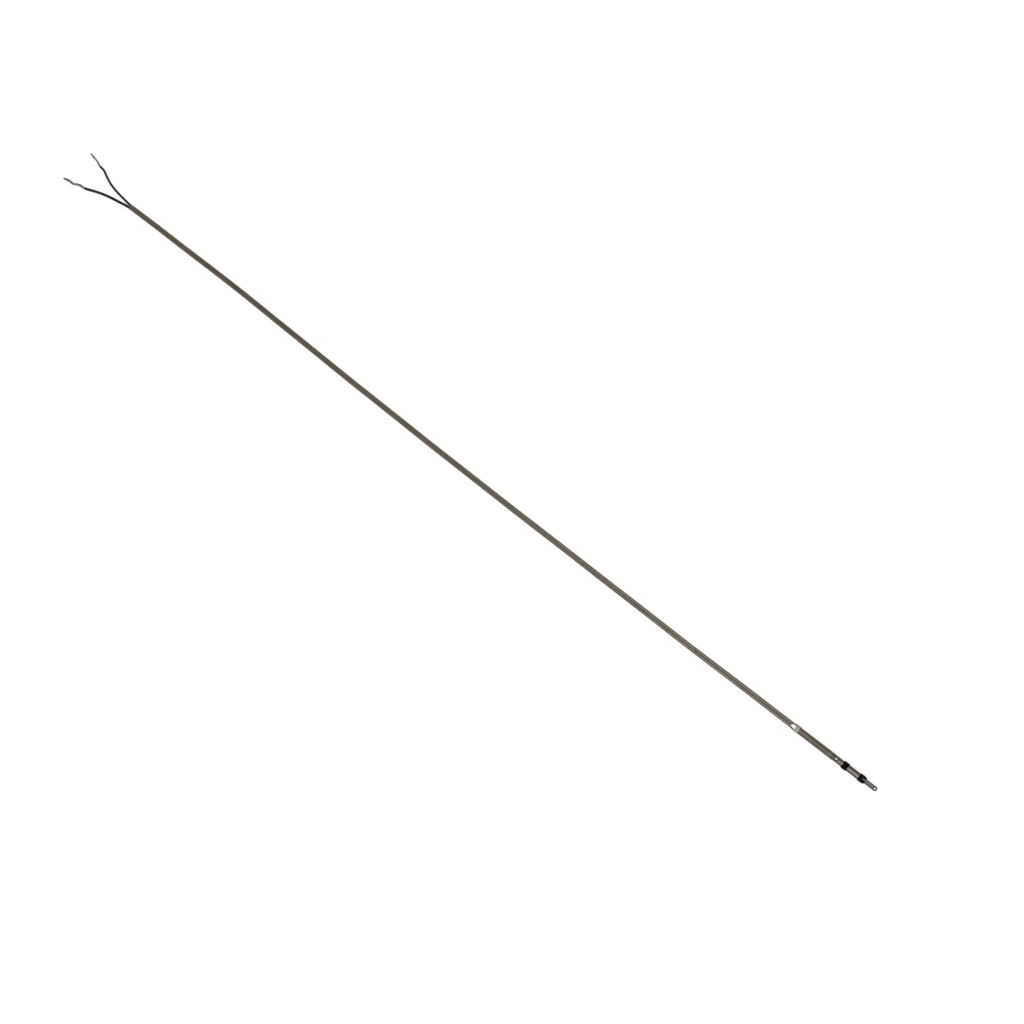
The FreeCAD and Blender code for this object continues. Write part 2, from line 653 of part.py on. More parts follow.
def hanging_tongue():
    """The flat tongue with a narrow tang, a round end and softened long edges."""
    root = f"{PLUG_FRONT} + 0.1"
    half = "Sizes.tongue_thick / 2"
    soft, side = "0.35", "Sizes.tongue_wide / 2"
    section = [
        (f"-{side} + {soft}", f"-{half}"),
        (f"{side} - {soft}", f"-{half}"),
        (side, f"-{half} + {soft}"),
        (side, f"{half} - {soft}"),
        (f"{side} - {soft}", half),
        (f"-{side} + {soft}", half),
        (f"-{side}", f"{half} - {soft}"),
        (f"-{side}", f"-{half} + {soft}"),
    ]
    strip = padded("tongue_strip", section, f"{EYE_AT} - ({root})", root)
    end = rod("tongue_end", side, "Sizes.eye_land", EYE_AT, direction="z")
    tang = block(
        "tongue_tang",
        "Sizes.tang_len + 0.2",
        "Sizes.tang_wide",
        "Sizes.tang_thick",
        f"{PLUG_FRONT} - Sizes.tang_len",
        "-Sizes.tang_thick / 2",
    )
    eye = rod("tongue_eye", "Sizes.eye_dia / 2 + Sizes.eye_wall + Sizes.snug", "4", EYE_AT, direction="z")
    pin = rod("tang_pin_hole", "Sizes.pin_dia / 2", "4", PIN_AT, direction="z")
    rivet = rod("tongue_rivet_hole", "Sizes.rivet_dia / 2 + Sizes.snug", "4", RIVET_AT, direction="z")
    flats = [
        block(
            f"eye_flat_{name}",
            "Sizes.tongue_wide",
            "Sizes.tongue_wide + 1",
            "1",
            f"{EYE_AT} - Sizes.eye_rim / 2 - 0.25",
            up,
        )
        for name, up in (
            ("upper", "Sizes.eye_land / 2"),
            ("lower", "-Sizes.eye_land / 2 - 1"),
        )
    ]
    return cut("hanging_tongue", fuse("tongue_solid", strip, end, tang), eye, pin, rivet, *flats)


def boot_rivet():
    """A domed rivet through the tongue. Its heads sit in the boot's notches and keep the boot on."""
    shank = rod("rivet_shank", "Sizes.rivet_dia / 2", "Sizes.tongue_thick + 0.2", RIVET_AT, direction="z")
    dome = "((Sizes.rivet_head / 2)^2 + Sizes.rivet_rise^2) / (2 * Sizes.rivet_rise)"
    heads = []
    for name, side in (("upper", 1), ("lower", -1)):
        ball = DOC.addObject("Part::Sphere", f"rivet_ball_{name}")
        ball.setExpression("Radius", dome)
        base = f"{side} * (Sizes.tongue_thick / 2 + Sizes.snug)"
        place(ball, RIVET_AT, "0", f"{base} + {side} * (Sizes.rivet_rise - {dome})")
        slab = block(
            f"rivet_slab_{name}",
            "2 * Sizes.rivet_head",
            "2 * Sizes.rivet_head",
            "Sizes.rivet_rise",
            f"{RIVET_AT} - Sizes.rivet_head",
            base if side > 0 else f"{base} - Sizes.rivet_rise",
        )
        head = DOC.addObject("Part::Common", f"rivet_head_{name}")
        head.Base, head.Tool = ball, slab
        heads.append(head)
    return fuse("boot_rivet", shank, *heads)


def eyelet():
    """A rolled grommet: a barrel through the tongue with a rim on each face."""
    body = "Sizes.eye_land + 2 * Sizes.snug"
    whole = f"({body} + 2 * Sizes.rim_thick)"
    barrel = rod("eyelet_barrel", "Sizes.eye_dia / 2 + Sizes.eye_wall", whole, EYE_AT, direction="z")
    rims = []
    for name, base in (("upper", f"({body}) / 2"), ("lower", f"-({body}) / 2 - Sizes.rim_thick")):
        rim = DOC.addObject("Part::Cylinder", f"rim_{name}")
        rim.setExpression("Radius", "Sizes.eye_rim / 2")
        rim.setExpression("Height", "Sizes.rim_thick")
        rims.append(place(rim, EYE_AT, "0", base))
    bore = rod("eyelet_bore", "Sizes.eye_dia / 2", "5", EYE_AT, direction="z")
    return cut("eyelet", fuse("eyelet_solid", barrel, *rims), bore)


def end_boot():
    """The rubber boot: it laps over the tube and closes round the tongue, with a notch above and below."""
    points = [
        ("0", "0"),
        ("0", f"{BOOT_RADIUS} - 0.25"),
        ("0.25", BOOT_RADIUS),
        ("Sizes.boot_len - Sizes.boot_cone", BOOT_RADIUS),
        ("Sizes.boot_len - Sizes.boot_cone / 2", f"{BOOT_RADIUS} - Sizes.boot_taper / 4"),
        ("Sizes.boot_len", f"{BOOT_RADIUS} - Sizes.boot_taper"),
        ("Sizes.boot_len", "0"),
    ]
    solid = turned("boot_solid", points, BOOT_BACK)
    lap = rod("boot_lap", "Sizes.tube_dia / 2 + 0.02", "Sizes.boot_lap + 0.05", BOOT_BACK)
    plug = rod("boot_plug_room", f"{TUBE_BORE} - Sizes.slip + 0.05", "Sizes.plug_out + 0.1", TUBE_FRONT)
    opening = block(
        "boot_opening",
        "Sizes.boot_len",
        "Sizes.tongue_wide + 0.1",
        "Sizes.tongue_thick + 0.1",
        TUBE_FRONT,
        "-Sizes.tongue_thick / 2 - 0.05",
    )
    notch = block(
        "boot_notch",
        "Sizes.notch_len",
        "Sizes.notch_wide",
        f"2 * {BOOT_RADIUS} + 1",
        f"{BOOT_FRONT} - Sizes.notch_len + 0.01",
        f"-{BOOT_RADIUS} - 0.5",
    )
    return cut("end_boot", solid, lap, plug, opening, notch)


# ---------------------------------------------------------------- flat lead and its two tails
# Routes are (distance behind the block, sideways, height), chosen by hand.
LEAD_ROUTE = [
    (4.0, 0.0, 3.55),
    (18.0, 0.0, 3.55),
    (40.0, 0.5, 2.5),
    (70.0, 0.8, 1.55),
    (113.0, 0.45, 1.55),
    (160.0, 0.95, 1.55),
    (213.0, 1.1, 1.55),
    (262.0, 1.6, 1.55),
    (317.0, 1.65, 1.55),
    (370.0, 2.35, 1.55),
    (424.0, 2.8, 1.55),
    (478.0, 4.0, 1.55),
    (531.0, 4.8, 1.55),
    (585.0, 6.35, 1.55),
    (634.0, 7.5, 1.55),
    (683.0, 8.95, 1.55),
    (729.0, 9.3, 1.55),
    (772.0, 9.15, 1.55),
    (806.0, 9.5, 1.55),
    (831.0, 9.35, 1.55),
    (849.4, 9.24, 1.55),
]
TAIL_A_ROUTE = [
    (844.6, 10.62, 1.55),
    (852.8, 10.56, 1.55),
    (861.0, 11.6, 1.4),
    (869.5, 12.6, 1.3),
    (879.0, 14.1, 1.25),
    (889.0, 16.6, 1.25),
    (899.5, 20.5, 1.25),
    (911.4, 25.2, 1.25),
    (920.0, 26.5, 1.0),
    (928.0, 28.9, 0.85),
    (934.9, 30.4, 0.8),
]
TAIL_B_ROUTE = [
    (844.6, 8.02, 1.55),
    (852.8, 7.96, 1.55),
    (861.0, 6.3, 1.4),
    (869.5, 5.0, 1.3),
    (879.0, 3.15, 1.25),
    (888.0, 0.65, 1.25),
    (896.0, -2.7, 1.25),
    (903.5, -5.5, 1.25),
    (912.0, -7.0, 1.0),
    (921.0, -9.4, 0.85),
    (929.9, -11.0, 0.8),
]
STRIPPED_POINTS = 3
STRIPPED_ROOM = (8.0, 45.0)  # radius and length of the space that holds a stripped end
SOCKET_MOUTH = 0.5  # how far a socket's tool stands out of the lead's end
SOCKET_TRIM = 0.02  # how much a socket's radius is under a core's nominal one
CORE_TRIM = 0.05  # how much a free core's radius is under its nominal one
STRANDS_ROOM = 0.05  # gap between the strands and the core's bore
CRIMP_ROOM = 0.1  # gap between a crimp and its socket


def route(points):
    """A route's points in the part's frame."""
    return [Vector(size(DATUM_X) - behind, side, height) for behind, side, height in points]


def lead_profile(start):
    """The lead's section: two round lobes with a shallow waist between them."""
    lobe, off, waist = size("Sizes.core_dia / 2 + Sizes.skin"), size("Sizes.core_off"), size("Sizes.waist")
    edge = off - math.sqrt(lobe**2 - waist**2)

    def at(side, up):
        return start + Vector(0, side, up)

    arcs = [
        Part.Arc(at(edge, waist), at(off + lobe, 0), at(edge, -waist)).toShape(),
        Part.LineSegment(at(edge, -waist), at(-edge, -waist)).toShape(),
        Part.Arc(at(-edge, -waist), at(-off - lobe, 0), at(-edge, waist)).toShape(),
        Part.LineSegment(at(-edge, waist), at(edge, waist)).toShape(),
    ]
    return Part.Wire(arcs)


def socket(point, toward, side, radius):
    """A round hole into an end of the lead, beside its middle, for a core or a crimp."""
    direction = (toward - point).normalize()
    start = point + Vector(0, side, 0) - direction * SOCKET_MOUTH
    return Part.makeCylinder(radius, size("Sizes.socket_deep") + SOCKET_MOUTH, start, direction)


def lead_cable():
    points = route(LEAD_ROUTE)
    path, radii = rounded_path(points)
    solid = swept(path, lead_profile(points[0]))
    print("lead: length %.1f, arc radii %s" % (path.Length, [round(r) for r in radii]))
    profile_area = Part.Face(lead_profile(points[0])).Area
    print("lead: volume %.1f, section times length %.1f" % (solid.Volume, profile_area * path.Length))
    off = size("Sizes.core_off")
    for side in (off, -off):
        crimp = size("Sizes.crimp_dia / 2") + CRIMP_ROOM
        core = size("Sizes.core_dia / 2") - SOCKET_TRIM
        solid = solid.cut(socket(points[0], points[1], side, crimp))
        solid = solid.cut(socket(points[-1], points[-2], side, core))
    return feature("lead_cable", solid)


def lead_crimps():
    """Two ferrules inside the lead's end, joining its strands to the cold leads."""
    back = "-Sizes.leg_back - 0.4"
    ferrules = []
    for name, side in (("a", "Sizes.core_off"), ("b", "-Sizes.core_off")):
        outer = rod(f"crimp_outside_{name}", "Sizes.crimp_dia / 2", "Sizes.crimp_len", back, side)
        bore = "Sizes.cold_dia / 2 + Sizes.snug"
        inner = rod(f"crimp_inside_{name}", bore, "Sizes.crimp_len - 0.4", "-Sizes.leg_back", side)
        ferrules.append(cut(f"crimp_{name}", outer, inner))
    pair = DOC.addObject("Part::Compound", "lead_crimps")
    pair.Links = ferrules
    return pair


def tail(name, places):
    """One core past the fork: its insulation, and the strands that run on out of its stripped end."""
    points = route(places)
    strands_radius = size("Sizes.strand_dia / 2")
    outer, radii = wire_tube(points, size("Sizes.core_dia / 2") - CORE_TRIM)
    print(f"tail {name}: arc radii", [round(r) for r in radii])
    bore, _ = wire_tube(points, strands_radius + STRANDS_ROOM)
    strands, _ = wire_tube(points, strands_radius)
    before, end, after = points[-STRIPPED_POINTS - 2 : -STRIPPED_POINTS + 1]
    stripped = Part.makeCylinder(STRIPPED_ROOM[0], STRIPPED_ROOM[1], end, after - before)
    insulation = outer.cut(bore).cut(stripped)
    return feature(f"core_insulation_{name}", insulation), feature(f"strands_{name}", strands)


# ---------------------------------------------------------------- build, check and write
PARTS = [
    lead_cable(),
    *tail("a", TAIL_A_ROUTE),
    *tail("b", TAIL_B_ROUTE),
    lead_crimps(),
    cold_lead("cold_lead_a", 1),
    cold_lead("cold_lead_b", -1),
    terminal_block(),
    spigot_seal("block_seal", "Sizes.block_len", SLEEVE_BORE, "+"),
    element_sleeve(),
    element_core(),
    heating_coil(),
    return_splice(),
    return_wire(),
    feed_wire(),
    coupling(),
    spigot_seal("sleeve_seal", SLEEVE_FRONT, SLEEVE_BORE, "-"),
    spigot_seal("tube_seal", TUBE_BACK, TUBE_BORE, "+"),
    cutout_tube(),
    spacer_ring(),
    cutout_base(),
    blade_terminal(),
    bimetal_blade(),
    moving_contact(),
    fixed_contact(),
    end_plug(),
    tongue_pin(),
    hanging_tongue(),
    boot_rivet(),
    eyelet(),
    end_boot(),
]
DOC.recompute()

for thing in DOC.Objects:
    if "Invalid" in thing.State or "Error" in thing.State:
        raise RuntimeError(f"{thing.Label} failed: {thing.State}")
for part in PARTS:
    if part.Shape.isNull() or not part.Shape.isValid() or not part.Shape.Solids:
        raise RuntimeError(f"{part.Label} has no valid solid")

os.makedirs("parts", exist_ok=True)
for part in PARTS:
    part.Shape.exportStep(f"parts/{part.Label}.step")
    box = part.Shape.BoundBox
    print(
        "%-20s %8.2f mm3  x %8.2f..%8.2f  y %6.2f..%6.2f  z %5.2f..%5.2f"
        % (part.Label, part.Shape.Volume, box.XMin, box.XMax, box.YMin, box.YMax, box.ZMin, box.ZMax)
    )
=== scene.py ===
# A slim submersible heater on a flat lead, lying on a pale table. Metres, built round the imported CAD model.
import bpy
import math
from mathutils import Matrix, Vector, noise


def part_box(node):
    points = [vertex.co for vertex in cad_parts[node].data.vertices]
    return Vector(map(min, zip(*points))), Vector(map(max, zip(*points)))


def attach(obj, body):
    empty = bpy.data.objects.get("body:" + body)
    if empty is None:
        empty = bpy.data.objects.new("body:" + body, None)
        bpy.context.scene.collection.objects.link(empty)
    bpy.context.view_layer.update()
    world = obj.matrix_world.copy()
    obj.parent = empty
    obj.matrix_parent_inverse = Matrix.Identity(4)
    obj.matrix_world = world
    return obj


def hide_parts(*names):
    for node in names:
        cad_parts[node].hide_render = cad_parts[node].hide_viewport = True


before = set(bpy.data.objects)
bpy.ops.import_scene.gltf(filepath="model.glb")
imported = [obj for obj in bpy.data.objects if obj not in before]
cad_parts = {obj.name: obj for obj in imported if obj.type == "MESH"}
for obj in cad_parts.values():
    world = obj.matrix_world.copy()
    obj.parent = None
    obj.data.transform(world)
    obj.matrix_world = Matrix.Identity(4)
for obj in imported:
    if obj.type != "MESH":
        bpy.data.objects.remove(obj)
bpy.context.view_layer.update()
mm = 0.001

cameraSettings = {
    "lookAt": (-0.35661, -0.00031, 0.0),
    "azimuth": 41.063,  # degrees, 0 looks along +Y
    "elevation": 62.0,
    "distance": 1.41773,
    "lens": 54.14,  # mm, and so is the sensor's width
    "sensor": 36,
    "nearest": 0.01,
}


def makeCamera(settings):
    az, el = math.radians(settings["azimuth"]), math.radians(settings["elevation"])
    back = Vector((math.sin(az) * math.cos(el), -math.cos(az) * math.cos(el), math.sin(el)))
    data = bpy.data.cameras.new("viewCamera")
    data.lens = settings["lens"]
    data.sensor_width = settings["sensor"]
    data.clip_start = settings["nearest"]
    camera = bpy.data.objects.new("viewCamera", data)
    camera.location = Vector(settings["lookAt"]) + back * settings["distance"]
    camera.rotation_euler = back.to_track_quat("Z", "Y").to_euler()
    bpy.context.collection.objects.link(camera)
    bpy.context.scene.camera = camera


makeCamera(cameraSettings)
bpy.context.scene.view_settings.view_transform = "Standard"
print("camera set")


def addMesh(name, verts, faces, smooth=True):
    mesh = bpy.data.meshes.new(name)
    mesh.from_pydata([tuple(v) for v in verts], [], faces)
    mesh.polygons.foreach_set("use_smooth", [smooth] * len(mesh.polygons))
    mesh.update()
    piece = bpy.data.objects.new(name, mesh)
    bpy.context.collection.objects.link(piece)
    return piece


# points along the smooth NURBS spline that has these as its control points
def splineLine(points, pointsPerRun=24):
    curve = bpy.data.curves.new("route", "CURVE")
    curve.dimensions = "3D"
    spline = curve.splines.new("NURBS")
    spline.points.add(len(points) - 1)
    for knot, place in zip(spline.points, points):
        knot.co = (*place, 1)
    spline.order_u = 3
    spline.use_endpoint_u = True
    spline.resolution_u = pointsPerRun
    holder = bpy.data.objects.new("route", curve)
    mesh = bpy.data.meshes.new_from_object(holder)
    line = [v.co.copy() for v in mesh.vertices]
    bpy.data.objects.remove(holder)
    bpy.data.curves.remove(curve)
    bpy.data.meshes.remove(mesh)
    return line


def lineLength(line):
    return sum((b - a).length for a, b in zip(line, line[1:]))


# the same line with its points an even step apart
def evenSteps(line, step, rounding=1e-9):
    total = lineLength(line)
    count = max(2, round(total / step))
    gap = total / count
    made, walked, target = [line[0]], 0.0, gap
    for a, b in zip(line, line[1:]):
        run = (b - a).length
        while target <= walked + run + rounding and len(made) < count:
            made.append(a.lerp(b, (target - walked) / run))
            target += gap
        walked += run
    return made + [line[-1]]


# each point with its directions along the line, sideways and up
def framesOn(line):
    result = []
    for i, here in enumerate(line):
        ahead = line[min(i + 1, len(line) - 1)] - line[max(i - 1, 0)]
        along = ahead.normalized()
        side = Vector((0, 0, 1)).cross(along).normalized()
        result.append((here, along, side, along.cross(side)))
    return result


def circleSection(radius, sides):
    return [
        (radius * math.cos(math.tau * j / sides), radius * math.sin(math.tau * j / sides))
        for j in range(sides)
    ]


# the walls between rings of points that follow each other in a list, starting at number first
def ringWalls(first, rings, sides):
    walls = []
    for i in range(rings - 1):
        a, b = first + i * sides, first + (i + 1) * sides
        for j in range(sides):
            k = (j + 1) % sides
            walls.append((a + j, a + k, b + k, b + j))
    return walls


# A closed tube along a line. sectionAt(distance) gives its (side, up) points there, shiftAt(distance, across)
# moves a point along the line, and dish is how far the middle of each end is sunk in.
def sweepTube(name, line, sectionAt, dish=0.0, shiftAt=None):
    rows = framesOn(line)
    total, walked = lineLength(line), 0.0
    verts = []
    for i, (here, along, side, up) in enumerate(rows):
        if i:
            walked += (here - rows[i - 1][0]).length
        for a, b in sectionAt(walked):
            shift = shiftAt(walked, a) if shiftAt else 0
            verts.append(here + side * a + up * b + along * shift)
    sides = len(verts) // len(rows)
    faces = ringWalls(0, len(rows), sides)
    for ring, distance, inward in ((0, 0, dish), (len(rows) - 1, total, -dish)):
        here, along = rows[ring][:2]
        shift = shiftAt(distance, 0) if shiftAt else 0
        middle = len(verts)
        verts.append(here + along * shift + along * inward)
        for j in range(sides):
            a, b = ring * sides + j, ring * sides + (j + 1) % sides
            faces.append((a, b, middle) if ring else (b, a, middle))
    return addMesh(name, verts, faces)


def finishPiece(piece, body, slot, material, *nodes):
    piece.data.materials.clear()
    piece.data.materials.append(material)
    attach(piece, body)
    if nodes:
        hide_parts(*nodes)


# a small wrapper that keeps material code short
class Nodes:
    def __init__(self, name):
        self.material = bpy.data.materials.new(name)
        self.material.use_nodes = True
        self.tree = self.material.node_tree
        self.shader = self.tree.nodes["Principled BSDF"]

    def add(self, kind, **values):
        node = self.tree.nodes.new(kind)
        for key, value in values.items():
            setattr(node, key, value)
        return node

    def link(self, a, b):
        self.tree.links.new(a, b)

    def put(self, socket, value):
        if isinstance(value, bpy.types.NodeSocket):
            self.link(value, socket)
        elif isinstance(value, tuple):
            socket.default_value = (*value, 1)
        else:
            socket.default_value = value

    # the object's own coordinates in metres, times a scale
    def place(self, scale=(1, 1, 1)):
        coords = self.add("ShaderNodeTexCoord")
        mapping = self.add("ShaderNodeMapping")
        mapping.inputs["Scale"].default_value = scale
        self.link(coords.outputs["Object"], mapping.inputs["Vector"])
        return mapping.outputs["Vector"]

    def grain(self, where, scale, detail=3.0, rough=0.6):
        texture = self.add("ShaderNodeTexNoise")
        texture.inputs["Scale"].default_value = scale
        texture.inputs["Detail"].default_value = detail
        texture.inputs["Roughness"].default_value = rough
        self.link(where, texture.inputs["Vector"])
        return texture.outputs["Fac"]

    # streaks whose scale differs along, across and up
    def streaks(self, scales, detail=3.0):
        return self.grain(self.place(scales), 1.0, detail)

    # a dark and a light tone, as they look on a screen, that begin at two values
    def twoTones(self, value, dark, light, begin):
        ramp = self.add("ShaderNodeValToRGB")
        for element, at, colour in zip(ramp.color_ramp.elements, begin, (dark, light)):
            element.position = at
            element.color = (*display(*colour), 1)
        self.link(value, ramp.inputs["Fac"])
        return ramp.outputs["Color"]

    def mixColour(self, share, a, b):
        mix = self.add("ShaderNodeMix", data_type="RGBA")
        self.put(mix.inputs[0], share)
        self.put(mix.inputs[6], a)
        self.put(mix.inputs[7], b)
        return mix.outputs[2]

    # a 0 to 1 value spread over a range
    def span(self, value, low, high):
        spread = self.add("ShaderNodeMapRange")
        self.link(value, spread.inputs["Value"])
        spread.inputs["To Min"].default_value = low
        spread.inputs["To Max"].default_value = high
        return spread.outputs["Result"]

    # 0 along the middle of a flat piece, rising to 1 at its two long edges, where shade is painted
    def paintedEdgeShadeMask(self, halfWidth, risesFrom=0.35):
        split = self.add("ShaderNodeSeparateXYZ")
        self.link(self.place(), split.inputs["Vector"])
        distance = self.add("ShaderNodeMath", operation="ABSOLUTE")
        self.link(split.outputs["Y"], distance.inputs[0])
        spread = self.add("ShaderNodeMapRange")
        self.link(distance.outputs["Value"], spread.inputs["Value"])
        spread.inputs["From Min"].default_value = halfWidth * risesFrom
        spread.inputs["From Max"].default_value = halfWidth
        return spread.outputs["Result"]

    def bump(self, height, strength, distance, onto=None):
        bump = self.add("ShaderNodeBump")
        bump.inputs["Strength"].default_value = strength
        bump.inputs["Distance"].default_value = distance
        self.link(height, bump.inputs["Height"])
        if onto:
            self.link(onto, bump.inputs["Normal"])
        return bump.outputs["Normal"]

    def finish(self, colour, roughness, normal=None, **fixed):
        self.put(self.shader.inputs["Base Color"], colour)
        self.put(self.shader.inputs["Roughness"], roughness)
        if normal:
            self.link(normal, self.shader.inputs["Normal"])
        for key, value in fixed.items():
            self.shader.inputs[key].default_value = value
        return self.material


# the sRGB curve: linear values of a colour given as it looks on a screen, 0 to 255
def display(red, green, blue):
    def linear(level):
        share = level / 255
        return share / 12.92 if share < 0.0404 else ((share + 0.055) / 1.055) ** 2.4
    return (linear(red), linear(green), linear(blue))


# In the finishes below, grains are scales in repeats over about a metre, tones say where the dark and the
# light tone begin, roughBelow and roughAbove how far the roughness wanders, and bumps hold (strength, depth).
plasticSettings = {
    "streaks": (12, 900, 900),  # long along the lead, fine across it
    "dust": 60.0,
    "fine": 3600.0,
    "dustShare": 0.45,
    "tones": (0.35, 0.65),
    "roughBelow": 0.06,
    "roughAbove": 0.08,
    "fineBump": (0.25, 0.02 * mm),
    "streakBump": (0.3, 0.03 * mm),
}


# extruded or moulded plastic: faint streaks along it, a soft grain and dusty patches
def drawnPlastic(name, dark, light, roughness, gloss=0.45, settings=plasticSettings):
    n = Nodes(name)
    streaks = n.streaks(settings["streaks"], detail=2.0)
    dust = n.grain(n.place(), settings["dust"], detail=4.0)
    fine = n.grain(n.place(), settings["fine"], detail=2.0)
    colour = n.twoTones(n.mixColour(settings["dustShare"], streaks, dust), dark, light, settings["tones"])
    rough = n.span(dust, roughness - settings["roughBelow"], roughness + settings["roughAbove"])
    normal = n.bump(fine, *settings["fineBump"], onto=n.bump(streaks, *settings["streakBump"]))
    return n.finish(colour, rough, normal, **{"Specular IOR Level": gloss})


rubberSettings = {
    "grain": 5200.0,
    "rubbed": 420.0,
    "tones": (0.45, 0.75),
    "roughBelow": 0.08,
    "roughAbove": 0.1,
    "bump": (0.35, 0.03 * mm),
}


# moulded rubber with a fine matt grain and a few paler rubbed spots
def mouldedRubber(name, dark, light, roughness, gloss=0.1, settings=rubberSettings):
    n = Nodes(name)
    grain = n.grain(n.place(), settings["grain"])
    rubbed = n.grain(n.place(), settings["rubbed"], detail=4.0, rough=0.7)
    colour = n.twoTones(rubbed, dark, light, settings["tones"])
    rough = n.span(grain, roughness - settings["roughBelow"], roughness + settings["roughAbove"])
    return n.finish(colour, rough, n.bump(grain, *settings["bump"]), **{"Specular IOR Level": gloss})


metalSettings = {
    "stain": 260.0,
    "stainShare": 0.5,
    "tones": (0.38, 0.62),
    "paintedEdgeDarkness": 0.2,  # how dark the painted shade on a long edge is, beside the dark tone
    "roughBelow": 0.08,
    "roughAbove": 0.1,
    "bump": (0.22, 0.02 * mm),
}
drawnHair = (60, 2400, 2400)  # hair lines along a drawn piece
wireHair = (300, 3000, 3000)
evenHair = (900, 900, 900)


# metal with hair lines and slight staining, and painted shade on its long edges if their half width is given
def satinMetal(name, dark, light, roughness, metallic, hair=drawnHair, paintedShadeHalfWidth=None, settings=metalSettings):
    n = Nodes(name)
    lines = n.streaks(hair)
    stain = n.grain(n.place(), settings["stain"], detail=4.0)
    colour = n.twoTones(n.mixColour(settings["stainShare"], lines, stain), dark, light, settings["tones"])
    if paintedShadeHalfWidth:
        # painted shade: the long edges are darkened the way a rounded edge looks when it turns away from the
        # light
        paintedEdgeShade = tuple(v * settings["paintedEdgeDarkness"] for v in display(*dark))
        colour = n.mixColour(n.paintedEdgeShadeMask(paintedShadeHalfWidth), colour, paintedEdgeShade)
    rough = n.span(stain, roughness - settings["roughBelow"], roughness + settings["roughAbove"])
    return n.finish(colour, rough, n.bump(lines, *settings["bump"]), Metallic=metallic)


sleeveSettings = {
    "film": (40, 500, 500),
    "spots": 700.0,
    "tones": (0.35, 0.65),
    "roughness": (0.3, 0.42),
    "cover": 0.58,  # how much each of its faces hides
    "gloss": 0.35,
}


# tinted sleeve that lets the winding show as faint rings
def smokySleeve(name, dark, light, settings=sleeveSettings):
    n = Nodes(name)
    film = n.streaks(settings["film"])
    spots = n.grain(n.place(), settings["spots"])
    colour = n.twoTones(film, dark, light, settings["tones"])
    rough = n.span(spots, *settings["roughness"])
    return n.finish(colour, rough, Alpha=settings["cover"], **{"Specular IOR Level": settings["gloss"]})


blockSettings = {
    "cells": 2600.0,
    "cloud": 500.0,
    "tones": (0.0, 0.3),  # of the ribs between the cells, and of the hollows in them
    "roughness": 0.55,
    "bump": (0.4, 0.05 * mm),
}


# light warm grey moulding with a mesh-like dimpled skin
def porousBlock(name, ribTone, hollowTone, cloudTone, settings=blockSettings):
    n = Nodes(name)
    cells = n.add("ShaderNodeTexVoronoi", feature="DISTANCE_TO_EDGE")
    cells.inputs["Scale"].default_value = settings["cells"]
    n.link(n.place(), cells.inputs["Vector"])
    depth = cells.outputs["Distance"]
    cloud = n.grain(n.place(), settings["cloud"])
    skin = n.twoTones(depth, ribTone, hollowTone, settings["tones"])
    colour = n.mixColour(cloud, skin, display(*cloudTone))
    return n.finish(colour, settings["roughness"], n.bump(depth, *settings["bump"]))


wireSettings = {
    "crust": 1800.0,
    "tones": (0.35, 0.7),
    "roughness": (0.5, 0.7),
    "metallic": 0.3,
}


# oxidised resistance wire
def woundWire(name, dark, light, settings=wireSettings):
    n = Nodes(name)
    crust = n.grain(n.place(), settings["crust"])
    colour = n.twoTones(crust, dark, light, settings["tones"])
    return n.finish(colour, n.span(crust, *settings["roughness"]), Metallic=settings["metallic"])


ceramicSettings = {
    "pores": 3200.0,
    "tones": (0.3, 0.6),
    "roughness": 0.8,
    "bump": (0.3, 0.02 * mm),
}


def firedCeramic(name, dark, light, settings=ceramicSettings):
    n = Nodes(name)
    pores = n.grain(n.place(), settings["pores"], detail=4.0)
    colour = n.twoTones(pores, dark, light, settings["tones"])
    return n.finish(colour, settings["roughness"], n.bump(pores, *settings["bump"]))


